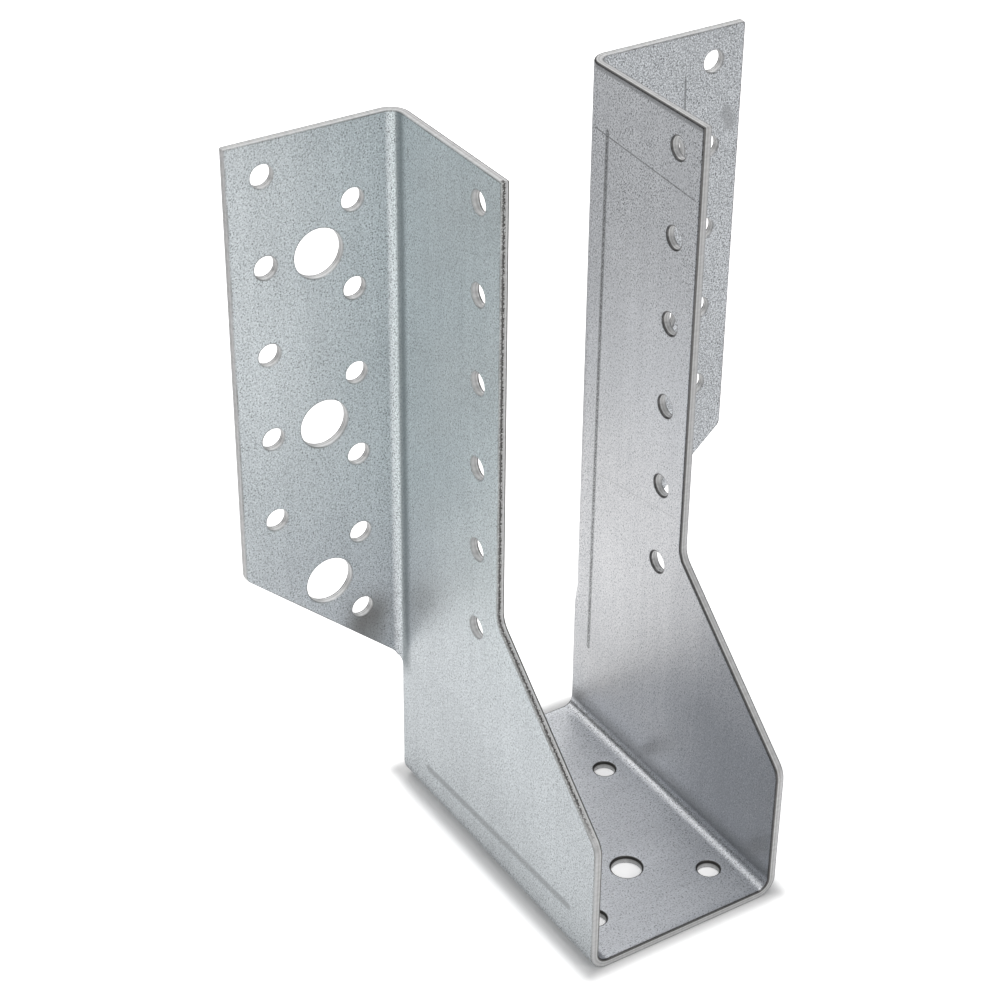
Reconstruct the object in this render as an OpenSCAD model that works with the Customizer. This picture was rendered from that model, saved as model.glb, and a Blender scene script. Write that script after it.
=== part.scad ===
// Joist hanger of one folded galvanised steel sheet.
// Two cheeks and a seat hold the end of a timber joist, and two flanges turned
// outwards at right angles are nailed or bolted to the header beam behind it.
// Millimetres. The hanger stands on its seat: X across, Y along the joist with the
// flanges at +Y, Z up. The origin is under the middle of the outer box.

/* [Sheet] */
// Thickness of the steel sheet
sheet_t = 2; // [1.5:0.1:3]
// Inside radius of every bend
bend_r = 2.5; // [1.5:0.25:3.5]

/* [Joist pocket] */
// Clear width between the cheeks, for the joist
joist_w = 45; // [40:1:100]
// Height of the cheeks above the seat's upper face
pocket_h = 167.5; // [140:0.5:240]
// Depth of the seat, from the flanges' back face to its front edge
seat_depth = 80; // [70:0.5:120]
// Depth of the cheeks above their slope, from the flanges' back face
cheek_depth = 41.5; // [36:0.5:60]
// Height above the floor at which the cheek's front slope starts
cheek_low = 34; // [20:0.5:50]
// Rise of the cheek's front slope
cheek_rise = 34; // [15:0.5:50]
// Radius of the two corners of the cheek's front slope
cheek_corner_r = 5; // [2:0.5:8]
// How far the cheeks' and seat's rear cut edge stays in front of the flanges' back face
rear_setback = 2; // [0.5:0.1:3.5]

/* [Flanges] */
// Width of each flange, from the cheek's outer face
flange_w = 38; // [34:0.5:60]
// Height above the floor at which the flange's lower slope leaves the cheek
flange_low = 35; // [20:0.5:60]
// Rise of the flange's lower slope, up to its outer edge
flange_rise = 34; // [15:0.5:50]
// Radius of the flange's lower outer corner
flange_corner_r = 2.5; // [1:0.5:6]
// Radius of the relief where the flange's slope runs into the cheek's rear edge
relief_r = 3; // [1.5:0.25:4]

/* [Nail and bolt holes] */
// Diameter of the nail holes
nail_d = 5; // [3.5:0.1:6]
// Diameter of the bolt holes in the flanges
bolt_d = 11; // [8:0.5:13]
// Vertical spacing of the nail holes in a column
nail_pitch = 20; // [16:0.5:30]
// Distance of the top row of nails below the top edge
top_edge = 7.5; // [5:0.5:12]
// Distance of the flange's outer nail column from its outer edge
flange_edge = 8; // [5:0.5:12]
// Distance of the flange's inner nail column from the cheek's outer face
inner_column = 10; // [8:0.5:12]
// Distance of the bolt column from the cheek's outer face
bolt_column = 18; // [16:0.5:20]
// Distance of the cheek's nail column from its front edge
cheek_edge = 8; // [5:0.5:12]
// Least height of a cheek's nail above the floor
cheek_lowest = 58; // [45:1:75]
// Least height of a nail hole's centre above the flange's slope
nail_margin = 7; // [5:0.5:10]
// Least height of a bolt hole's centre above the flange's slope
bolt_margin = 10; // [8:0.5:14]

/* [Seat holes] */
// Distance of the seat's nail holes from the cheek's inner face
seat_side = 7.25; // [6:0.25:12]
// Distance of the seat's front nails from its front edge
seat_front = 12; // [8:0.5:16]
// Spacing of the seat's front and rear nails along the joist
seat_pitch = 41; // [25:0.5:45]
// Diameter of the hole on the middle line of the seat
seat_hole_d = 7; // [5:0.5:12]
// Distance of that hole from the seat's front edge
seat_hole_front = 22; // [18:0.5:30]

/* [Hidden] */
$fn = 96;
zinc = [0.71, 0.74, 0.75];
over = 1;
past_sides = 1.2;
hair = 0.002;

cheek_in = joist_w / 2;
cheek_out = cheek_in + sheet_t;
flange_out = cheek_out + flange_w;
top_z = sheet_t + pocket_h;
bend_out = bend_r + sheet_t;
back_y = seat_depth / 2;

// The flange's slope, as a height above the floor at a distance from the cheek
function slope_z(x) = flange_low + flange_rise * x / flange_w;

// Heights of a column of holes, from the first one down to the last above a limit
function column(first, step, lowest) = [for (z = [first:-step:lowest]) z];

first_row = top_z - top_edge;
outer_column = flange_w - flange_edge;
outer_rows = column(first_row, nail_pitch, slope_z(outer_column) + nail_margin);
inner_rows = column(first_row - nail_pitch / 2, nail_pitch, slope_z(inner_column) + nail_margin);
bolt_rows = column(first_row - nail_pitch, 2 * nail_pitch, slope_z(bolt_column) + bolt_margin);
cheek_rows = column(first_row, nail_pitch, cheek_lowest);

// Distance from a corner to where a round of radius r starts, for a slope of
// the given run and rise that meets an upright edge
function tangent_length(r, run, rise) = r * tan((90 - atan2(rise, run)) / 2);

relief_z = flange_low - tangent_length(relief_r, flange_w, flange_rise);

function unit(v) = v / norm(v);

// What lies between the corner at p, whose sides point to a and b, and the arc of
// radius r that touches both sides. Taken away it rounds an outer corner, and
// added it fills an inner one. It is cut a little past the sides, and its arc
// crosses them by a hair, so that no thread of sheet is left along them.
module corner_wedge(p, a, b, r) {
    ua = unit(a - p);
    ub = unit(b - p);
    half = acos(ua * ub) / 2;
    reach = r / tan(half);
    centre = p + unit(ua + ub) * r / sin(half);
    difference() {
        polygon([for (q = [centre, p + ua * reach, p, p + ub * reach])
            centre + (q - centre) * past_sides]);
        translate(centre) circle(r = r + hair);
    }
}

// Quarter of a bend's section, round the origin, in the quadrant of -X and +Y
module bend_section() {
    intersection() {
        difference() {
            circle(r = bend_out);
            circle(r = bend_r);
        }
        translate([-bend_out, 0]) square(bend_out);
    }
}

// Cheeks and seat seen from the front: a U with two bends at its foot
module channel_section() {
    translate([-cheek_out + bend_out, 0]) square([2 * (cheek_out - bend_out), sheet_t]);
    for (side = [0, 1]) mirror([side, 0]) {
        translate([-cheek_out, bend_out]) square([sheet_t, top_z - bend_out]);
        translate([-cheek_out + bend_out, bend_out]) mirror([0, 1]) bend_section();
    }
}

// Outline of a cheek seen from the side, with the rear edge at zero and the front
// at minus: full depth at the seat, a slope, and the narrower upper part
module cheek_outline() {
    rear_low = [-rear_setback, 0];
    front_low = [-seat_depth, 0];
    slope_low = [-seat_depth, cheek_low];
    slope_top = [-cheek_depth, cheek_low + cheek_rise];
    front_top = [-cheek_depth, top_z];
    difference() {
        union() {
            polygon([
                front_low, rear_low, [-rear_setback, relief_z], [-bend_out, relief_z],
                [-bend_out, top_z], front_top, slope_top, slope_low
            ]);
            corner_wedge(slope_top, front_top, slope_low, cheek_corner_r);
        }
        corner_wedge(slope_low, front_low, slope_top, cheek_corner_r);
    }
}

// Outline of the left flange seen from the front, from the cheek's inner face to
// its outer edge, with the slope at its foot
module flange_outline() {
    slope_low = [-cheek_out, flange_low];
    slope_top = [-flange_out, flange_low + flange_rise];
    relief = [-cheek_out, relief_z];
    outer_top = [-flange_out, top_z];
    difference() {
        union() {
            polygon([
                [-cheek_in, relief_z], relief, slope_low, slope_top, outer_top, [-cheek_in, top_z]
            ]);
            corner_wedge(slope_low, slope_top, relief - [0, relief_r], relief_r);
        }
        corner_wedge(slope_top, slope_low, outer_top, flange_corner_r);
    }
}

// Plan of the left flange with the bend that joins it to the cheek
module flange_section() {
    translate([-flange_out, -sheet_t]) square([flange_w - bend_r, sheet_t]);
    translate([-cheek_out - bend_r, -bend_out]) mirror([1, 0]) bend_section();
}

// Cheeks and seat: the front section cut to the side outline
module channel() {
    intersection() {
        rotate([90, 0, 0]) linear_extrude(seat_depth) channel_section();
        rotate([90, 0, 90]) translate([0, 0, -cheek_out]) linear_extrude(2 * cheek_out) cheek_outline();
    }
}

// Left flange with its bend: the plan cut to the front outline
module flange() {
    intersection() {
        linear_extrude(top_z) flange_section();
        rotate([90, 0, 0]) linear_extrude(bend_out) flange_outline();
    }
}

// Holes of the left flange, bored along the joist
module flange_holes() {
    module bore(x, rows, d) {
        for (z = rows) translate([-cheek_out - x, over, z]) rotate([90, 0, 0])
            cylinder(d = d, h = sheet_t + 2 * over);
    }
    bore(outer_column, outer_rows, nail_d);
    bore(inner_column, inner_rows, nail_d);
    bore(bolt_column, bolt_rows, bolt_d);
}

// Nail holes that pass through both cheeks
module cheek_holes() {
    for (z = cheek_rows) translate([-cheek_out - over, cheek_edge - cheek_depth, z])
        rotate([0, 90, 0]) cylinder(d = nail_d, h = 2 * (cheek_out + over));
}

// Nail holes near the seat's corners, and the larger hole on its middle line
module seat_holes() {
    module bore(x, y, d) {
        translate([x, y - seat_depth, -over]) cylinder(d = d, h = sheet_t + 2 * over);
    }
    for (side = [-1, 1], row = [0, 1])
        bore(side * (cheek_in - seat_side), seat_front + row * seat_pitch, nail_d);
    bore(0, seat_hole_front, seat_hole_d);
}

// The whole hanger, folded from one blank
module joist_hanger() {
    color(zinc) translate([0, back_y, 0]) difference() {
        union() {
            channel();
            for (side = [0, 1]) mirror([side, 0, 0]) flange();
        }
        for (side = [0, 1]) mirror([side, 0, 0]) flange_holes();
        cheek_holes();
        seat_holes();
    }
}

joist_hanger();
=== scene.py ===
# %% [markdown]
# A joist hanger is a strip of galvanised steel that a press shears to its
# outline, punches full of nail and bolt holes, and folds four times. It carries
# the end of a timber joist on its seat, and its two flanges are nailed or bolted
# to the beam behind. There is one part here and one finish, so everything is in
# how well the sheet, its bends and its cut edges are made.

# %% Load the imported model
import bpy
import numpy as np
from mathutils import Matrix, Vector
from mathutils.geometry import delaunay_2d_cdt


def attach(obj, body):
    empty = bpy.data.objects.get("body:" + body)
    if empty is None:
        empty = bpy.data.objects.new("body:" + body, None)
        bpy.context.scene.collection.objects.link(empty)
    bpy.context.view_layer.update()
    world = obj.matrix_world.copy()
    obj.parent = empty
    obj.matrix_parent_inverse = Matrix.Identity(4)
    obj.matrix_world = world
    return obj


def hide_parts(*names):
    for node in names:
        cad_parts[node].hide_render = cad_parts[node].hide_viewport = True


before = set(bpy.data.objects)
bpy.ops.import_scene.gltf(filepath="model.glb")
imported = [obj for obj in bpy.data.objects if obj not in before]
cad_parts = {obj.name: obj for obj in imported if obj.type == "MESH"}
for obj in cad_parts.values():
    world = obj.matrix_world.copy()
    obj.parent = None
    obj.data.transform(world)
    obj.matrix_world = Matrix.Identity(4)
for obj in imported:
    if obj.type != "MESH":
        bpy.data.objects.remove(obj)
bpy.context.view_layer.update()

print("CAD nodes:", sorted(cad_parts))

# %% [markdown]
# The camera comes first, so that every later choice is judged through it. A
# camera can be placed by eye, or fitted: the hole centres and the edges of the
# hanger are known in the picture and in the model, and one position, direction
# and focal length makes them agree. The fit stands 0.58 m from the middle of the
# hanger's foot, in front on its left, and looks down by 33 degrees. The small shift
# is the crop of the picture. The real piece is a little out of square, so the fit
# shares that error out between its corners.

# %% Camera
lens = bpy.data.cameras.new("camera")
lens.sensor_width = 36.0
lens.lens = 89.78
lens.shift_x = 0.0068
lens.shift_y = -0.0170
camera = bpy.data.objects.new("camera", lens)
bpy.context.scene.collection.objects.link(camera)
bpy.context.scene.camera = camera

stands_at = Vector((-0.25241, -0.35735, 0.37404))
looks_along = Vector((0.45224, 0.70976, -0.54011))
lean = Matrix.Rotation(np.radians(0.536), 3, "Z")
aim = looks_along.to_track_quat("-Z", "Y").to_matrix() @ lean
camera.matrix_world = Matrix.Translation(stands_at) @ aim.to_4x4()
bpy.context.scene.view_settings.view_transform = "Standard"
print("camera distance from the middle of the hanger's foot: %.3f m" % stands_at.length)

# %% [markdown]
# A folded sheet could be modelled folded, face by face. It is easier, and truer,
# to model it as the press gets it: flat. Every point of the blank has two
# coordinates, how far it lies along the strip from the middle of the seat and how
# far across it, and one function folds them into space. The bends come out as
# true arcs, and a pattern laid on the blank runs round them as zinc does.

# %% Measures of the sheet, in millimetres
SHEET = 2.0
BEND_RADIUS = 2.5
MIDDLE_RADIUS = BEND_RADIUS + SHEET / 2
BEND_LENGTH = MIDDLE_RADIUS * np.pi / 2

POCKET_HALF = 22.5
SEAT_FLAT = POCKET_HALF - BEND_RADIUS
TOP = 169.5
FRONT, BACK = -40.0, 40.0
CHEEK_FRONT = BACK - 41.5
REAR_CUT = BACK - 2.0
FLANGE_BEND = BACK - BEND_RADIUS - SHEET
FLANGE_FLAT = POCKET_HALF + SHEET + BEND_RADIUS
FLANGE_WIDTH = 38.0
FLANGE_EDGE = POCKET_HALF + SHEET + FLANGE_WIDTH


def along(height):
    """How far along the strip a height on the cheek lies: the height, plus the flat of the seat and
    the bend, less the height at which that bend ends."""
    return height + SEAT_FLAT + BEND_LENGTH - (BEND_RADIUS + SHEET)


def across(distance):
    """How far across the strip a place on the flange lies, from its distance to the hanger's middle."""
    return FLANGE_BEND + BEND_LENGTH + distance - FLANGE_FLAT


print("blank: %.1f mm long, %.1f mm wide" % (2 * along(TOP), across(FLANGE_EDGE) - FRONT))

# %% [markdown]
# Folding is a function of the two blank coordinates. On a flat it adds the
# coordinate as it is; in a bend it walks round an arc at the middle of the
# sheet's thickness, which neither stretches nor shrinks. The relief at the foot
# of each flange is where a bend ends: the press grips only the flange, so below
# it the bend dies out over a few millimetres of height.

# %% Fold the blank
RELIEF_LOW, RELIEF_HIGH = 31.5, 36.5
LEAST_BEND = 1e-4


def soft_step(low, high, value):
    """0 below low, 1 above high, and 3t^2 - 2t^3 between them."""
    t = np.clip((value - low) / (high - low), 0, 1)
    return t * t * (3 - 2 * t)


def fold(a, v):
    """Middle surface of the hanger from blank coordinates: a along the strip, v across it.
    Seat to cheek: x = flat + R sin t, z = R (1 - cos t), with t = a past the flat over R.
    Cheek to flange: the same arc seen from above, out to the side and towards the back, with a
    curvature that fades to nothing below the flange's foot."""
    length = np.abs(a)
    turn = np.clip((length - SEAT_FLAT) / MIDDLE_RADIUS, 0, np.pi / 2)
    x = np.minimum(length, SEAT_FLAT) + MIDDLE_RADIUS * np.sin(turn)
    past_bend = np.maximum(length - SEAT_FLAT - BEND_LENGTH, 0)
    z = SHEET / 2 + MIDDLE_RADIUS * (1 - np.cos(turn)) + past_bend

    bend = soft_step(RELIEF_LOW, RELIEF_HIGH, z)
    curvature = np.maximum(bend, LEAST_BEND) / MIDDLE_RADIUS
    in_bend = np.clip(v - FLANGE_BEND, 0, BEND_LENGTH)
    beyond = np.maximum(v - FLANGE_BEND - BEND_LENGTH, 0)
    swing = curvature * in_bend
    x = x + (1 - np.cos(swing)) / curvature + beyond * np.sin(swing)
    y = np.minimum(v, FLANGE_BEND) + np.sin(swing) / curvature + beyond * np.cos(swing)
    return np.stack([np.sign(a) * x, y, z], axis=-1)


def unit(vectors):
    """The same directions, each with a length of 1."""
    return vectors / np.linalg.norm(vectors, axis=-1, keepdims=True)


def surface(a, v, step=0.004):
    """Place, the two directions of the blank there, and the normal of the inner side, which is their
    cross product. The directions are differences between points half a step to either side."""
    a = np.where(np.abs(a) < step, step, a)
    along_strip = unit(fold(a + step / 2, v) - fold(a - step / 2, v))
    across_strip = unit(fold(a, v + step / 2) - fold(a, v - step / 2))
    return fold(a, v), along_strip, across_strip, unit(np.cross(along_strip, across_strip))


corner, _, _, facing = surface(np.array([along(TOP)]), np.array([across(FLANGE_EDGE)]))
print("top corner of the folded flange:", corner[0].round(2), "its inner side faces", facing[0].round(2))

# %% [markdown]
# The outline of the blank is twelve corners, each with its radius. Two lines
# follow it: the cut edge itself, and a line 1.2 mm inside it. Between the two
# lies the rim, which gets the shape of the cut. Long straights are divided every
# few millimetres, and where an edge crosses a bend it is divided at every step of
# the arc, so that the rim bends as smoothly as the faces.

# %% Outline of the blank
RIM = 1.2
ARC_STEPS = 12
EDGE_PITCH = 4.0
LEAST_GAP = 0.25
CHEEK_SLOPE_LOW, CHEEK_SLOPE_HIGH = 34.0, 68.0
FLANGE_SLOPE_RISE, FLANGE_SLOPE_HIGH = 34.0, 69.0
SLOPE_ROUND, SHARP, FLANGE_ROUND, RELIEF_ROUND = 5.0, 0.3, 2.5, 3.0
arc_steps = np.linspace(0, BEND_LENGTH, ARC_STEPS + 1)
SEAT_BEND_LINES = SEAT_FLAT + arc_steps
FLANGE_BEND_LINES = FLANGE_BEND + arc_steps
RELIEF_LINES = along(np.arange(30.5, 38, 0.5))


def slope_height(v):
    """Height of the flange's sloping foot, which is one straight cut across the blank."""
    return FLANGE_SLOPE_HIGH - FLANGE_SLOPE_RISE / FLANGE_WIDTH * (across(FLANGE_EDGE) - v)


half_outline = [
    (along(CHEEK_SLOPE_LOW), FRONT, SLOPE_ROUND),
    (along(CHEEK_SLOPE_HIGH), CHEEK_FRONT, SLOPE_ROUND),
    (along(TOP), CHEEK_FRONT, SHARP),
    (along(TOP), across(FLANGE_EDGE), SHARP),
    (along(FLANGE_SLOPE_HIGH), across(FLANGE_EDGE), FLANGE_ROUND),
    (along(slope_height(REAR_CUT)), REAR_CUT, RELIEF_ROUND),
]
outline = half_outline + [(-a, v, radius) for a, v, radius in reversed(half_outline)]


def stops(start, end):
    """Where to divide a straight edge, from 0 to 1: evenly, and at each line of a bend."""
    run = end - start
    count = int(np.ceil(np.hypot(*run) / EDGE_PITCH))
    places = [np.linspace(0, 1, count + 1)[1:-1]]
    lengthwise = np.concatenate([SEAT_BEND_LINES, RELIEF_LINES])
    if abs(run[0]) > 1:
        places.append((np.concatenate([lengthwise, -lengthwise]) - start[0]) / run[0])
    if abs(run[1]) > 1:
        places.append((FLANGE_BEND_LINES - start[1]) / run[1])
    places = np.sort(np.concatenate(places))
    gap = LEAST_GAP / np.hypot(*run)
    places = places[(places > gap) & (places < 1 - gap)]
    return places[np.append(True, np.diff(places) > gap)] if len(places) else places


def rails(corners):
    """Cut edge and rim line of a closed outline, with the normal that points into the sheet.
    Each corner is an arc: centre minus radius times the normal, as the heading turns evenly from
    one side to the next. On the rim line its radius is smaller by the rim, or larger in a notch."""
    cut, inner, normals = [], [], []
    points = np.array([c[:2] for c in corners])
    for i, (_, _, radius) in enumerate(corners):
        before, here, after = points[i - 1], points[i], points[(i + 1) % len(corners)]
        way_in, way_out = unit(here - before), unit(after - here)
        turn = np.arctan2(way_in[0] * way_out[1] - way_in[1] * way_out[0], way_in @ way_out)
        heading = np.arctan2(way_in[1], way_in[0]) + turn * np.linspace(0, 1, 3 + int(2 * radius))
        normal = np.stack([-np.sin(heading), np.cos(heading)], axis=-1)
        set_in = RIM * (normal[0] + normal[-1]) / (1 + normal[0] @ normal[-1])
        for rail, tip, r in (
            (cut, here, radius),
            (inner, here + set_in, max(radius - np.sign(turn) * RIM, 0.1)),
        ):
            centre = tip - way_in * r * np.tan(abs(turn) / 2) + np.sign(turn) * r * normal[0]
            rail.append(centre - np.sign(turn) * r * normal)
        normals.append(normal)
    for i in range(len(corners)):
        start, end = cut[2 * i][-1], cut[(2 * i + 1) % len(cut)][0]
        t = stops(start, end)[:, None]
        straight = start + t * (end - start)
        facing_in = np.repeat(normals[2 * i][-1:], len(t), axis=0)
        cut.insert(2 * i + 1, straight)
        inner.insert(2 * i + 1, straight + RIM * facing_in)
        normals.insert(2 * i + 1, facing_in)
    return np.concatenate(cut), np.concatenate(inner), np.concatenate(normals)


edge_rails = rails(outline)
print("outline: %d corners, divided at %d places" % (len(outline), len(edge_rails[0])))

# %% [markdown]
# The holes are circles in the blank, because none of them lies in a bend. The
# same two lines follow each of them, the second one 1.2 mm outside the first, so
# the holes are finished by the same code as the outline.

# %% Holes of the blank
NAIL, BOLT, SEAT_HOLE = 5.0, 11.0, 7.0
OUTER_COLUMN, INNER_COLUMN, BOLT_COLUMN = across(54.5), across(34.5), across(42.5)
CHEEK_COLUMN = 6.5
outer_nails = [(along(z), OUTER_COLUMN, NAIL) for z in (162, 142, 122, 102, 82)]
inner_nails = [(along(z), INNER_COLUMN, NAIL) for z in (152, 132, 112, 92, 72, 52)]
bolts = [(along(z), BOLT_COLUMN, BOLT) for z in (142, 102, 62)]
cheek_nails = [(along(z), CHEEK_COLUMN, NAIL) for z in (162, 142, 122, 102, 82, 62)]
seat_nails = [(15.25, v, NAIL) for v in (-28.0, 13.0)]
holes = outer_nails + inner_nails + bolts + cheek_nails + seat_nails
holes += [(-a, v, d) for a, v, d in holes]
holes.append((0.0, -18.0, SEAT_HOLE))


def circle_rails(a, v, diameter):
    """Cut edge and rim line of a hole. The angle runs backwards, so that the sheet is on its left, as
    it is along the outline."""
    angle = -np.linspace(0, 2 * np.pi, 24 + 2 * int(diameter), endpoint=False)
    normal = np.stack([np.cos(angle), np.sin(angle)], axis=-1)
    centre = np.array([a, v])
    return centre + diameter / 2 * normal, centre + (diameter / 2 + RIM) * normal, normal


hole_rails = [circle_rails(*hole) for hole in holes]
print("holes: %d, divided at %d places" % (len(holes), sum(len(r[0]) for r in hole_rails)))

# %% [markdown]
# A sheared edge is never a plain square corner. The punch comes from the side
# that ends up inside. It first pulls that face down in a soft roll, then cuts a
# bright band, and then the rest tears off, dull and a little set back, down to a
# sharp lip. A Bevel modifier would round both sides alike. Here the true section
# is a short list of points from the inner face, over the edge, to the outer face:
# the inset from the cut, and the height from 1 on the inner face to -1 on the outer.

# %% Section of the cut edge
roll = np.linspace(0, np.pi / 2, 6)
ROLL_WIDTH, ROLL_DEPTH = 0.55, 0.34
section = np.concatenate([
    [[RIM, 1.0]],
    np.stack([ROLL_WIDTH * (1 - np.sin(roll)), 1 - ROLL_DEPTH * (1 - np.cos(roll))], axis=-1),
    [[0.0, 0.3], [0.0, -0.05], [0.02, -0.16], [0.05, -0.5], [0.08, -0.9]],
    [[0.10, -0.97], [0.16, -1.0], [0.4, -1.0], [RIM, -1.0]],
])
facing_out = unit(np.concatenate([
    [[0.0, 1.0]],
    np.stack([ROLL_DEPTH * np.sin(roll), ROLL_WIDTH * np.cos(roll)], axis=-1),
    [[1.0, 0.0], [1.0, -0.02], [0.99, -0.12], [0.99, -0.09], [0.95, -0.3]],
    [[0.6, -0.8], [0.1, -1.0], [0.0, -1.0], [0.0, -1.0]],
]))
print("section: %d points over a %.1f mm thick edge" % (len(section), SHEET))


def band(rail, first):
    """Rim of one outline or hole. A point of it is the cut edge plus the inset's share of the way to
    the rim line, at the section's height through the sheet. Returns blank coordinates, height, inset,
    facing directions and the quads of the grid."""
    cut, inner, normal = rail
    count, rows = len(cut), len(section)
    inset, height = section[:, 0], section[:, 1]
    place = cut[:, None] + (inner - cut)[:, None] * (inset / RIM)[None, :, None]
    i, k = np.meshgrid(np.arange(count), np.arange(rows - 1), indexing="ij")
    j = (i + 1) % count
    quads = np.stack([i * rows + k, i * rows + k + 1, j * rows + k + 1, j * rows + k], axis=-1)
    return {
        "place": place.reshape(-1, 2),
        "height": np.tile(height, count),
        "inset": np.tile(inset, count),
        "outwards": -(normal[:, None] * facing_out[None, :, :1]).reshape(-1, 2),
        "upwards": np.tile(facing_out[:, 1], count),
        "quads": quads.reshape(-1, 4) + first,
        "inner_row": first + np.arange(count) * rows,
        "outer_row": first + np.arange(count) * rows + rows - 1,
    }


bands, first = [], 0
for rail in [edge_rails] + hole_rails:
    bands.append(band(rail, first))
    first += len(bands[-1]["place"])
print("rims: %d points" % first)

# %% [markdown]
# What is left is the flat part of both faces, between the rim lines. It could be
# cut out with booleans, which leave long thin triangles and shading that
# flickers. A Delaunay triangulation of the blank is even by nature: it is given
# the rim lines, the lines of the bends, and a loose grid, and it joins them.

# %% Points and triangles between the rims
CLEAR = 0.4
GRID_PITCH = 6.0


def is_inside(points, loop):
    """True where a line from the point towards +a crosses the closed loop an odd number of times."""
    p, q = loop, np.roll(loop, -1, axis=0)
    a, v = points[:, :1], points[:, 1:]
    spans = (p[:, 1] > v) != (q[:, 1] > v)
    rise = np.where(q[:, 1] == p[:, 1], 1.0, q[:, 1] - p[:, 1])
    reach = p[:, 0] + (v - p[:, 1]) / rise * (q[:, 0] - p[:, 0])
    return (spans & (reach > a)).sum(axis=1) % 2 == 1


def clearance(points, loops):
    """Distance from each point to the nearest rim line, measured to its straight pieces."""
    p = np.concatenate(loops)
    q = np.concatenate([np.roll(loop, -1, axis=0) for loop in loops])
    run = q - p
    t = ((points[:, None] - p) * run).sum(-1) / (run * run).sum(-1)
    foot = p + np.clip(t, 0, 1)[..., None] * run
    return np.linalg.norm(points[:, None] - foot, axis=-1).min(axis=1)


loops = [rail[1] for rail in [edge_rails] + hole_rails]


def on_sheet(points, gap):
    """True for points of the blank that keep a gap to every rim line."""
    inside = is_inside(points, loops[0])
    for a, v, diameter in holes:
        inside &= np.hypot(points[:, 0] - a, points[:, 1] - v) > diameter / 2 + RIM
    return inside & (clearance(points, loops) > gap)


def fold_lines():
    """Points along every line of the four bends, line by line. Near the relief they stand closer."""
    seat = np.linspace(FRONT + RIM + CLEAR, REAR_CUT - RIM - CLEAR, 20)
    height = np.concatenate([np.arange(30.0, 39, 0.5), np.linspace(39.5, TOP - RIM - CLEAR, 34)])
    lines = [np.stack([np.full_like(seat, a), seat], -1) for a in SEAT_BEND_LINES]
    lines += [np.stack([along(height), np.full_like(height, v)], -1) for v in FLANGE_BEND_LINES]
    return lines + [line * [-1, 1] for line in lines]


extra, joins, count = [], [], sum(len(loop) for loop in loops)
for line in fold_lines():
    kept = on_sheet(line, 0.3)
    index = np.cumsum(kept) - 1 + count
    pairs = kept[:-1] & kept[1:]
    joins.append(np.stack([index[:-1][pairs], index[1:][pairs]], -1))
    extra.append(line[kept])
    count += kept.sum()

a, v = np.meshgrid(np.arange(-189, 190, GRID_PITCH), np.arange(-37, 76, GRID_PITCH))
loose = np.stack([a.ravel(), v.ravel()], -1)
middle_seat = SEAT_FLAT + BEND_LENGTH / 2
middle_flange = FLANGE_BEND + BEND_LENGTH / 2
away_from_lines = 1.5
clear_of_bends = np.abs(np.abs(loose[:, 0]) - middle_seat) > BEND_LENGTH / 2 + away_from_lines
clear_of_bends &= np.abs(loose[:, 1] - middle_flange) > BEND_LENGTH / 2 + away_from_lines
loose = loose[clear_of_bends]
extra.append(loose[on_sheet(loose, away_from_lines)])

flat_points = np.concatenate(loops + extra)
closed, first = [], 0
for loop in loops:
    index = first + np.arange(len(loop))
    closed.append(np.stack([index, np.roll(index, -1)], -1))
    first += len(loop)
edges = np.concatenate(closed + joins)

made = delaunay_2d_cdt([Vector(p) for p in flat_points], edges.tolist(), [], 0, 1e-6, True)
source = np.array([where[0] if where else -1 for where in made[3]])
triangles = source[np.array(made[2])]
assert (source >= 0).all() and len(source) == len(flat_points)

centres = flat_points[triangles].mean(axis=1)
keep = is_inside(centres, loops[0])
for ring in loops[1:]:
    keep &= ~is_inside(centres, ring)
triangles = triangles[keep]
side_1 = flat_points[triangles[:, 1]] - flat_points[triangles[:, 0]]
side_2 = flat_points[triangles[:, 2]] - flat_points[triangles[:, 0]]
backwards = side_1[:, 0] * side_2[:, 1] < side_1[:, 1] * side_2[:, 0]
triangles[backwards] = triangles[backwards][:, ::-1]
print("each face: %d points, %d triangles" % (len(flat_points), len(triangles)))

# %% [markdown]
# Rims and faces share the points of the rim lines, so the mesh is one closed
# skin. Every point also keeps three facts for the material: its unfolded place,
# its inset from the cut, and how hard the sheet is bent there. The shading
# normals are worked out from the fold itself, which is smoother than any average
# of the facets round a point.

# %% Build the folded sheet
BEND_SPREAD = 0.3


def gather(fact, *of_faces):
    """One fact of all rims in a row, followed by the same fact of the points between the rims."""
    return np.concatenate([b[fact] for b in bands] + list(of_faces))


free = flat_points[sum(len(loop) for loop in loops):]
rim_count = sum(len(b["place"]) for b in bands)
own_index = rim_count + np.arange(len(free))
ones = np.ones(len(free))

inner_index = gather("inner_row", own_index)
outer_index = gather("outer_row", own_index + len(free))
blank = gather("place", free, free)
height = gather("height", ones, -ones)
inset = gather("inset", RIM * ones, RIM * ones)
outwards = gather("outwards", np.zeros((2 * len(free), 2)))
upwards = gather("upwards", ones, -ones)

middle, along_strip, across_strip, inner_side = surface(blank[:, 0], blank[:, 1])
points = middle + inner_side * (height * SHEET / 2)[:, None]
normals = unit(
    along_strip * outwards[:, :1] + across_strip * outwards[:, 1:] + inner_side * upwards[:, None]
)
half_bend = BEND_LENGTH / 2 + BEND_SPREAD
seat_strain = np.clip(1 - np.abs(np.abs(blank[:, 0]) - middle_seat) / half_bend, 0, 1)
flange_strain = np.clip(1 - np.abs(blank[:, 1] - middle_flange) / half_bend, 0, 1)
strain = np.sqrt(np.maximum(seat_strain, flange_strain * soft_step(30, 36, middle[:, 2])))

quads = np.concatenate([b["quads"] for b in bands])
faces = quads.tolist() + inner_index[triangles].tolist() + outer_index[triangles[:, ::-1]].tolist()

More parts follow.
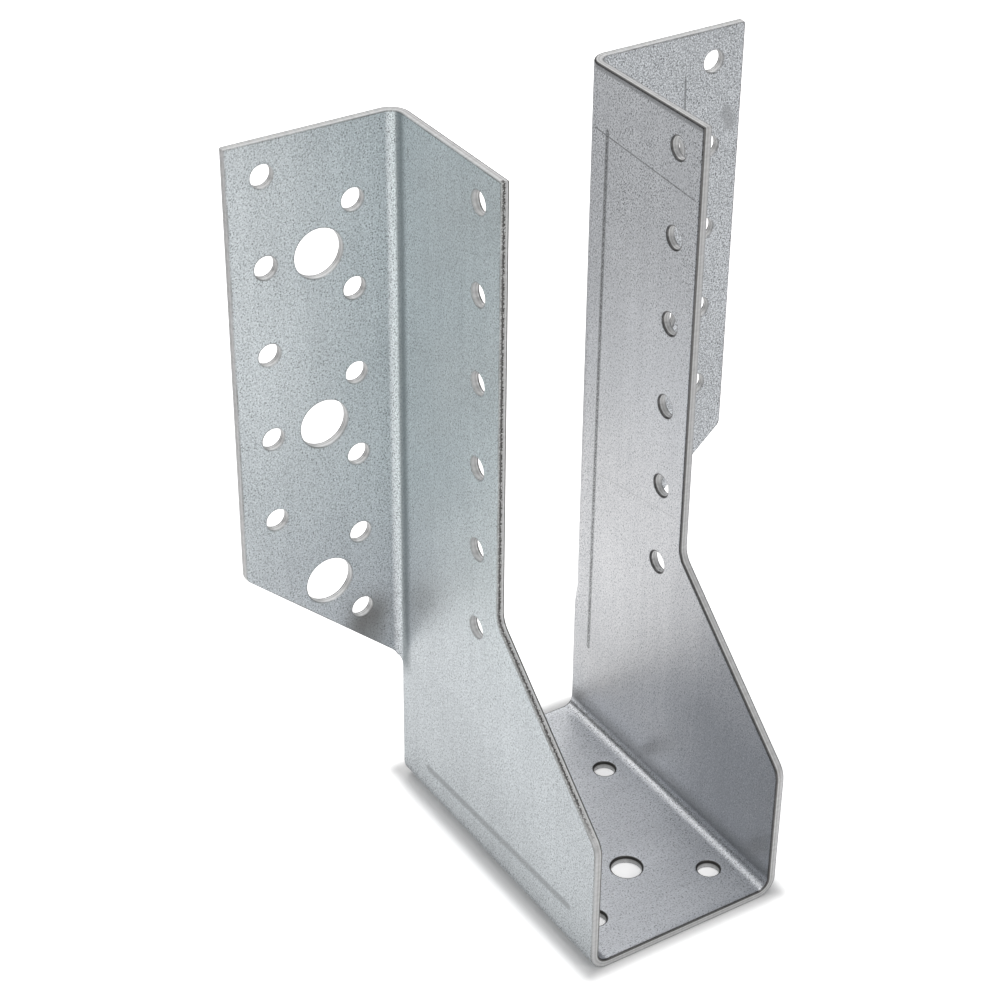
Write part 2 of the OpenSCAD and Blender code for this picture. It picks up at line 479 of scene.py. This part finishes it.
mesh = bpy.data.meshes.new("folded_sheet")
mesh.from_pydata((points * 0.001).tolist(), [], faces)
mesh.shade_smooth()
mesh.normals_split_custom_set_from_vertices(normals.tolist())
unfolded = np.concatenate([blank, height[:, None]], axis=1) * 0.001
mesh.attributes.new("unfolded", "FLOAT_VECTOR", "POINT").data.foreach_set("vector", unfolded.ravel())
mesh.attributes.new("inset", "FLOAT", "POINT").data.foreach_set("value", inset)
mesh.attributes.new("strain", "FLOAT", "POINT").data.foreach_set("value", strain)
mesh.validate()
sheet = bpy.data.objects.new("folded_sheet", mesh)
bpy.context.scene.collection.objects.link(sheet)
print("sheet: %d points, %d faces" % (len(mesh.vertices), len(mesh.polygons)))

# %% [markdown]
# Shader maths reads badly as a web of nodes and well as a line of arithmetic.
# A small class wraps a socket, and its operators add the Math nodes. Anything
# else, such as a noise or a bump, comes from one method that takes the node's
# type, its settings and what goes into its sockets.

# %% Shader arithmetic


class Wire:
    """A value in a node tree that adds its own Math nodes when it is calculated with."""

    def __init__(self, bench, socket):
        self.bench, self.socket = bench, socket

    def maths(self, operation, *values):
        return self.bench.add("ShaderNodeMath", {"operation": operation}, dict(enumerate(values)))

    def __add__(self, other):
        return self.maths("ADD", self, other)

    def __sub__(self, other):
        return self.maths("SUBTRACT", self, other)

    def __rsub__(self, other):
        return self.maths("SUBTRACT", other, self)

    def __mul__(self, other):
        return self.maths("MULTIPLY", self, other)

    __radd__, __rmul__ = __add__, __mul__

    def __abs__(self):
        return self.maths("ABSOLUTE", self)

    def at_least(self, other):
        return self.maths("MAXIMUM", self, other)

    def at_most(self, other):
        return self.maths("MINIMUM", self, other)

    def step(self, low, high):
        """Soft step from 0 at low to 1 at high, or from 1 to 0 where low is the larger."""
        ends = {"Value": self, "From Min": low, "From Max": high}
        return self.bench.add("ShaderNodeMapRange", {"interpolation_type": "SMOOTHSTEP"}, ends)


class Bench:
    """The node tree of one material, or of the world."""

    def __init__(self, owner):
        owner.use_nodes = True
        self.tree = owner.node_tree
        self.tree.nodes.clear()

    def add(self, kind, settings=None, values=None, output=0):
        """Adds a node: first its settings, then numbers, colours or wires for its sockets. Where
        several sockets share a name, the one in use is taken."""
        node = self.tree.nodes.new(kind)
        for name, value in (settings or {}).items():
            setattr(node, name, value)
        for name, value in (values or {}).items():
            socket = node.inputs[name]
            if isinstance(name, str) and not socket.enabled:
                socket = [s for s in node.inputs if s.name == name and s.enabled][0]
            if isinstance(value, Wire):
                self.tree.links.new(value.socket, socket)
            else:
                socket.default_value = value
        if isinstance(output, int) and node.outputs and not node.outputs[output].enabled:
            return Wire(self, [s for s in node.outputs if s.enabled][output])
        return Wire(self, node.outputs[output]) if node.outputs else None

    def mix(self, share, first, second):
        """A colour between two: the first where the share is 0, the second where it is 1."""
        colours = {"Factor": share, "A": first, "B": second}
        return self.add("ShaderNodeMix", {"data_type": "RGBA"}, colours)

    def noise(self, place, scale, detail, stretch=(1.0, 1.0, 1.0)):
        """Noise of so many waves per metre of the place that it reads, spread out to about 0 to 1.
        Each noise is moved by its own scale, so that no two of them line up."""
        moves = {"Vector": place, "Scale": stretch, "Location": (scale / 1000, 0.5, 0.0)}
        moved = self.add("ShaderNodeMapping", None, moves)
        wave = self.add("ShaderNodeTexNoise", None, {"Vector": moved, "Scale": scale, "Detail": detail})
        return wave.maths("MULTIPLY_ADD", wave, 2.2, -0.6)


def grey(level, warmth=0.0):
    """A grey a little warmer, or with a negative warmth a little bluer."""
    return (level * (1 + warmth), level, level * (1 - warmth), 1.0)


zinc_material = bpy.data.materials.new("galvanised_zinc")
zinc = Bench(zinc_material)
place = zinc.add("ShaderNodeAttribute", {"attribute_name": "unfolded"}, output="Vector")
parts = zinc.add("ShaderNodeSeparateXYZ", None, {"Vector": place})
strip_mm = Wire(zinc, parts.socket.node.outputs["X"]) * 1000
width_mm = Wire(zinc, parts.socket.node.outputs["Y"]) * 1000
side = Wire(zinc, parts.socket.node.outputs["Z"]) * 1000
inset_mm = zinc.add("ShaderNodeAttribute", {"attribute_name": "inset"}, output="Fac")
bent = zinc.add("ShaderNodeAttribute", {"attribute_name": "strain"}, output="Fac")
print("nodes so far:", len(zinc.tree.nodes))

# %% [markdown]
# Hot-dip galvanised sheet is steel under a few hundredths of a millimetre of
# zinc. It is a dull mirror: it has no colour of its own beyond a cool grey, and
# what is seen in it is the room, blurred. A diffuse grey would look like paint.
# The grain is what tells zinc from aluminium: fine salt and pepper about 0.3 mm
# across, pinholes, soft clouds some centimetres wide, and a faint drag along the
# strip from the rolling mill. The outer side is coarser, most of all on the
# flanges, and so is every bend. All of this adds up to one level, which picks a
# grey between a dark and a light one. Painted light makes the front of the seat a
# little brighter, and painted shade makes the lower front of the right cheek a
# little darker.

# %% Zinc: grain, pinholes and clouds
outer = side.step(0.2, -0.2)
inner = 1 - outer
pepper = zinc.noise(place, 3900, 0.0)
crystals = zinc.noise(place, 2800, 0.0)
drag = zinc.noise(place, 380, 1.0, stretch=(0.05, 1.0, 1.0))
clouds = zinc.noise(place, 33, 2.0)
mottle = zinc.noise(place, 110, 1.0)

flange = width_mm.step(38, 41)
right = strip_mm.step(-1, 1)
upper_right = strip_mm.step(along(105), along(160)) * mottle
coarse_outside = 0.50 + flange * (0.08 + 0.66 * right)
coarse_inside = 0.45 + 0.85 * upper_right
coarse = outer * coarse_outside + inner * coarse_inside + 0.4 * bent

salt_and_pepper = (pepper * 0.8 + crystals - 0.9) * 0.95
dark_specks = (crystals + mottle * 0.3).step(0.42, 0.12) * 0.40
# painted shade darkens the lower front of the right cheek's inner side; painted light brightens the
# front of the seat
right_cheek_painted_shade = strip_mm.step(along(50), along(28)) * strip_mm.step(24, 27) * width_mm.step(6, -16) * inner
seat_front_painted_light = abs(strip_mm).step(20.5, 19.5) * width_mm.step(25, 5) * inner
level = 0.25 + 0.14 * inner + flange * (0.06 - 0.10 * right) + seat_front_painted_light * 0.12 - right_cheek_painted_shade * 0.46
level = level + (salt_and_pepper - dark_specks) * coarse + drag * 0.10 + clouds * 0.20
pits = (crystals + pepper * 0.7 - mottle * 0.2).step(0.16, 0.02) * coarse

neutral = (right + 0.5 * flange + abs(strip_mm).step(along(90), along(40)) * 0.6).at_most(1)
outer_low = zinc.mix(neutral, (0.458, 0.505, 0.518, 1), (0.48, 0.50, 0.525, 1))
outer_high = zinc.mix(neutral, (0.908, 0.98, 0.995, 1), (0.925, 0.955, 0.99, 1))
outer_zinc = zinc.mix(level, outer_low, outer_high)
warm = strip_mm.step(along(110), along(70)) * strip_mm.step(26, 40)
inner_high = zinc.mix(warm, (0.90, 0.92, 0.955, 1), (0.925, 0.923, 0.935, 1))
inner_zinc = zinc.mix(level, (0.46, 0.475, 0.50, 1), inner_high)
colour = zinc.mix(inner, outer_zinc, inner_zinc)
colour = zinc.mix(pits, colour, grey(0.10, -0.05))
print("nodes with grain:", len(zinc.tree.nodes))

# %% [markdown]
# Marks give a pressed part its history: a stain at the foot of the left flange,
# and fine scratches from handling. Each scratch is a stroke between two places of
# the blank, so it stays on its side of the sheet and bends with it. Painted shade
# darkens a band beside each flange's bend on the outer side, a band above each
# bend of the seat, and, drawn as one more stroke, a line just under the right
# cheek's top edge; a painted highlight runs along the crest of each seat bend.

# %% Zinc: tool marks, scratches, painted shade and a painted highlight


def stroke(start, end, width):
    """1 on the line from start to end, 0 beyond its width, all in millimetres of the blank. Two dot
    products turn the place into how far it lies along the line and across it. Its distance is the part
    across, plus whatever lies past one of the ends."""
    start, end = np.array(start), np.array(end)
    length = float(np.hypot(*(end - start)))
    down = (end - start) / length
    over = np.array((-down[1], down[0]))
    turned = []
    for way, middle in ((down, (start + end) / 2), (over, start)):
        dot = {0: place, 1: (1000 * way[0], 1000 * way[1], 0.0)}
        along_way = zinc.add("ShaderNodeVectorMath", {"operation": "DOT_PRODUCT"}, dot, output="Value")
        turned.append(abs(along_way - float(middle @ way)))
    return ((turned[0] - length / 2).at_least(0) + turned[1]).step(width, width * 0.3)


inside_marks_and_painted_shade = (
    stroke((along(156), 31.2), (along(23), 31.6), 0.85) * 1.2
    + stroke((along(155.2), 35.6), (along(153.0), 0.0), 0.22) * 1.2
    + stroke((along(71.5), 35.0), (along(76.8), 0.5), 0.14) * 0.5
    # painted shade: a dark line just under the top edge of the right cheek's inner side
    + stroke((along(168.8), 36.0), (along(168.8), -1.0), 0.75) * 0.8
)
outside_marks = (
    stroke((-along(9.6), 27.0), (-along(12.0), -31.0), 1.4) * 0.7
    + stroke((-along(163.0), 33.0), (-along(160.8), 33.0), 0.24)
    + stroke((along(160.0), across(47.2)), (along(151.0), across(47.5)), 0.34)
    + stroke((along(150.0), across(58.5)), (along(146.0), across(60.0)), 2.2) * 0.5
)
# the marks take in one stroke of painted shade, under the right cheek's top edge
marks = (inside_marks_and_painted_shade * inner + outside_marks * outer) * crystals.step(0.15, 0.5)
colour = zinc.mix(marks * 0.75, colour, grey(0.14, -0.02))

above_relief = abs(strip_mm).step(50, 56)
# painted shade: a dark band on the outer side beside each flange's bend, in the inside corner
flange_bend_painted_shade = width_mm.step(38.2, 37.3) * width_mm.step(33.4, 36.2) * outer * above_relief
colour = zinc.mix(flange_bend_painted_shade * 0.72, colour, (0.20, 0.23, 0.24, 1))

# painted shade: a dark band on the inner side just above each bend of the seat
seat_bend_painted_shade = abs(strip_mm).step(25.0, 26.0) * abs(strip_mm).step(31.0, 26.2) * inner
colour = zinc.mix(seat_bend_painted_shade * 0.42, colour, grey(0.14))
# painted highlight: a bright line along the crest of each bend of the seat, on the inner side
seat_bend_painted_highlight = abs(abs(strip_mm) - 22.4).step(1.1, 0.4) * inner * (0.15 + crystals)
colour = zinc.mix(seat_bend_painted_highlight * 0.50, colour, grey(0.97, -0.01))

stain = abs(strip_mm + along(46)).step(14, 2) * abs(width_mm - across(33)).step(9, 1) * outer
colour = zinc.mix(stain * clouds * 1.1, colour, grey(0.22, 0.05))
print("nodes with marks:", len(zinc.tree.nodes))

# %% [markdown]
# The cut edge shows bare steel. It is rougher than the zinc, so it scatters like
# something half matt and stays light from every side. A grey streak in its middle
# parts the band that the punch slid along from the torn one. Painted light makes
# the walls of the holes brighter, and with them the rear edge and the sloping feet
# of the flanges. On the left cheek's front edge the tear is a broken black line.
# Painted shade darkens the rolled rim on the inner side, most of all round the
# holes of the seat, and a thin dark line follows the edge on the outer side.

# %% Zinc: cut edges
cut = inset_mm.step(0.14, 0.02)
rim = inset_mm.step(0.48, 0.20)
on_seat = abs(strip_mm).step(20.5, 19.5) * abs(width_mm + 1).step(38.0, 37.0)
off_seat = 1 - on_seat

middle_streak = abs(side - 0.02).step(0.32, 0.08) * cut
# painted shade: the rolled rim on the inner side is drawn dark, most of all round the seat's holes
rim_painted_shade = side.step(0.44 - 0.34 * on_seat, 0.64 - 0.24 * on_seat) * rim * (0.86 + 0.12 * on_seat)
wall_line = side.step(-0.60, -0.80) * cut
beside_cut = inset_mm.step(0.42, 0.24) * inset_mm.step(0.04, 0.12)
face_line = side.step(-0.80, -0.95) * beside_cut * (0.20 + mottle)
left_front_edge = strip_mm.step(-along(30), -along(42)) * width_mm.step(-0.4, -0.9) * cut
torn = abs(side + 0.42 + (pepper + crystals - 1.0) * 0.30).step(0.38, 0.22) * left_front_edge

below_top = abs(strip_mm).step(along(167), along(166))
# painted light: the cut walls, most of all those of the holes, are drawn brighter
walls_painted_light = width_mm.step(1, 3) * width_mm.step(across(61), across(60)) * below_top * off_seat
streaks = zinc.noise(place, 1300, 1.0, stretch=(1.0, 1.0, 0.08))
wall = zinc.mix(streaks, grey(0.71), grey(0.86))
wall = zinc.mix(walls_painted_light * 0.95, wall, grey(0.98))
colour = zinc.mix(cut, colour, wall)
lines = middle_streak * 0.28 + (wall_line * 0.50 + face_line * 0.60) * off_seat
colour = zinc.mix(lines, colour, grey(0.20, 0.03))
colour = zinc.mix(rim_painted_shade, colour, grey(0.05, 0.06))
colour = zinc.mix(torn, colour, grey(0.05, 0.08))
print("nodes with edges:", len(zinc.tree.nodes))

# %% [markdown]
# Roughness and relief finish the metal. The inner side is smoother than the outer,
# except on the seat, so a cheek shows the seat's edge as a clear line. The bump
# reads the same grain as the colour, which keeps light and dark specks where the
# surface really tilts.

# %% Zinc: roughness, relief and shader
roughness = 0.27 + 0.10 * outer + 0.10 * on_seat * inner + clouds * 0.06
bump = zinc.add("ShaderNodeBump", None, {"Height": pepper, "Strength": 0.35, "Distance": 0.00004})
metal = 0.85 - 0.7 * cut * (1 - rim_painted_shade)
finish = {"Base Color": colour, "Metallic": metal, "Roughness": roughness, "Normal": bump}
shader = zinc.add("ShaderNodeBsdfPrincipled", None, finish)
zinc.add("ShaderNodeOutputMaterial", None, {"Surface": shader})
mesh.materials.append(zinc_material)
print("nodes in the finished zinc:", len(zinc.tree.nodes))

# %% [markdown]
# The frame is told what the new piece is: it rides on the one body, it is shown
# in place of the plain CAD solid, and its finish is the sheet's.

# %% Put the sheet in the frame
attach(sheet, "root")
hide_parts("joist_hanger")
print("in the frame:", sheet.name, "with", len(sheet.data.materials), "material")

# %% [markdown]
# Metal shows its surroundings more than itself, so the floor matters as much as
# the lamps. It is white paper: matt to the light that falls on the hanger, and
# lifted to white where the camera or a reflection sees it. The lift fades out
# beside the hanger's foot, so that the shadow there stays, and its strength never
# passes 1. Parts of the lift are painted light: a little more of it close beside
# the foot makes the shadow fade sooner, and more under the hanger brightens the
# paper seen through the seat's holes. In reflections it is strongest towards the
# left, where the paper is lit, and falls off to the right and behind, and beside
# the foot it is weaker, a painted shadow. That is what makes the upper ends of the
# sheet darker than its foot. All these distances are in metres.

# %% Floor
FOOT_HALF_WIDTH, FOOT_HALF_DEPTH = 0.0245, 0.040
FLOOR_REACH = 4.0
paper_material = bpy.data.materials.new("white_paper")
paper = Bench(paper_material)
ray = paper.add("ShaderNodeLightPath").socket.node.outputs
spot = paper.add("ShaderNodeTexCoord", output="Object")
parts = paper.add("ShaderNodeSeparateXYZ", None, {"Vector": spot}).socket.node.outputs
x, y = Wire(paper, parts["X"]), Wire(paper, parts["Y"])
to_camera = Wire(paper, ray["Is Camera Ray"])
mirrored = Wire(paper, ray["Is Glossy Ray"]) + Wire(paper, ray["Is Transmission Ray"])

past_x = (abs(x) - FOOT_HALF_WIDTH).at_least(0)
past_y = (abs(y) - FOOT_HALF_DEPTH).at_least(0)
beside = past_x.maths("SQRT", past_x * past_x + past_y * past_y)
clear_of_foot = beside.step(0.0002, 0.007)
far_from_foot = beside.step(0.0, 0.05)

# painted light lifts the paper under the hanger, where it shows through the seat's holes
under_it = abs(x).step(0.019, 0.018) * abs(y).step(0.038, 0.037)
near_foot = beside.step(0.0, 0.0035) * beside.step(0.020, 0.006)
open_floor = clear_of_foot * 0.62 + near_foot * 0.28 + far_from_foot * 0.17
open_floor = open_floor + under_it * 0.34 + beside.step(0.1, 0.5) * 0.15

# painted light in reflections: stronger to the left, weaker to the right, behind and beside the foot
lit_side = 0.66 + 0.34 * x.step(0.14, 0.05)
falling_off = 1 - (y + x * 0.16).step(0.06, 0.24) * 0.54
out_of_shade = 0.30 + 0.45 * clear_of_foot + 0.25 * far_from_foot
lift = to_camera * (0.04 + open_floor) + mirrored * lit_side * falling_off * out_of_shade
glow = paper.add("ShaderNodeEmission", None, {"Color": (1, 1, 1, 1), "Strength": lift})
tone = paper.mix(mirrored, (0.92, 0.92, 0.92, 1), (0.14, 0.14, 0.14, 1))
matt = paper.add("ShaderNodeBsdfDiffuse", None, {"Color": tone})
sheet_of_paper = paper.add("ShaderNodeAddShader", None, {0: matt, 1: glow})
paper.add("ShaderNodeOutputMaterial", None, {"Surface": sheet_of_paper})

corners = [(FLOOR_REACH * i, FLOOR_REACH * j, 0) for i, j in ((-1, -1), (1, -1), (1, 1), (-1, 1))]
floor_mesh = bpy.data.meshes.new("floor")
floor_mesh.from_pydata(corners, [], [(0, 1, 2, 3)])
floor_mesh.materials.append(paper_material)
floor = bpy.data.objects.new("floor", floor_mesh)
bpy.context.scene.collection.objects.link(floor)
print("nodes in the paper:", len(paper.tree.nodes))

# %% [markdown]
# The studio itself is dim, and soft boxes stand round the hanger. The seat looks
# up into the one high behind it and the pair below that; the cheeks' hole walls
# look at the one in front, and the flanges' at the one on the left, on top of the
# painted light on those walls. Between them the rolled rims of the seat's holes
# catch the dim room, which with the painted shade on those rims draws their black
# crescents. The one overhead gives the shadow on the paper. Each is placed by its
# direction, its height above the level and its distance, as a photographer would
# note it.

# %% World and lamps
ROOM_LEVEL = 0.04
LIT_MIDDLE = Vector((0, 0, 0.06))
world = bpy.data.worlds.new("studio")
bpy.context.scene.world = world
studio = Bench(world)
seen = Wire(studio, studio.add("ShaderNodeLightPath").socket.node.outputs["Is Camera Ray"])
strength = seen * (1 - ROOM_LEVEL) + ROOM_LEVEL
light = studio.add("ShaderNodeBackground", None, {"Color": (1, 1, 1, 1), "Strength": strength})
studio.add("ShaderNodeOutputWorld", None, {"Surface": light})


def softbox(name, turn, rise, away, width, height, level):
    """A rectangular lamp aimed at the hanger. It stands turn degrees clockwise from behind, seen from
    above, rise degrees up and so many metres away. Its power is its level times pi times its area,
    so that its face is that bright."""
    data = bpy.data.lights.new(name, "AREA")
    data.shape, data.size, data.size_y = "RECTANGLE", width, height
    data.energy = level * np.pi * width * height
    lamp = bpy.data.objects.new(name, data)
    turn, rise = np.radians(turn), np.radians(rise)
    way = Vector((np.sin(turn) * np.cos(rise), np.cos(turn) * np.cos(rise), np.sin(rise)))
    aimed = (-way).to_track_quat("-Z", "Y").to_matrix().to_4x4()
    lamp.matrix_world = Matrix.Translation(LIT_MIDDLE + way * away) @ aimed
    lamp.visible_camera = False
    bpy.context.scene.collection.objects.link(lamp)


softbox("high_behind", 0, 54, 1.4, 2.5, 0.50, 1.05)
softbox("behind_left", -36, 33, 1.4, 1.0, 0.55, 0.75)
softbox("behind_right", 36, 33, 1.4, 1.1, 0.55, 0.8)
softbox("front", 175, 34, 1.4, 1.1, 0.7, 2.4)
softbox("left", -100, 32, 1.4, 1.0, 0.7, 1.5)
softbox("overhead", 0, 88, 1.35, 0.8, 0.8, 3.0)
print("lamps:", ", ".join(sorted(lamp.name for lamp in bpy.data.lights)))
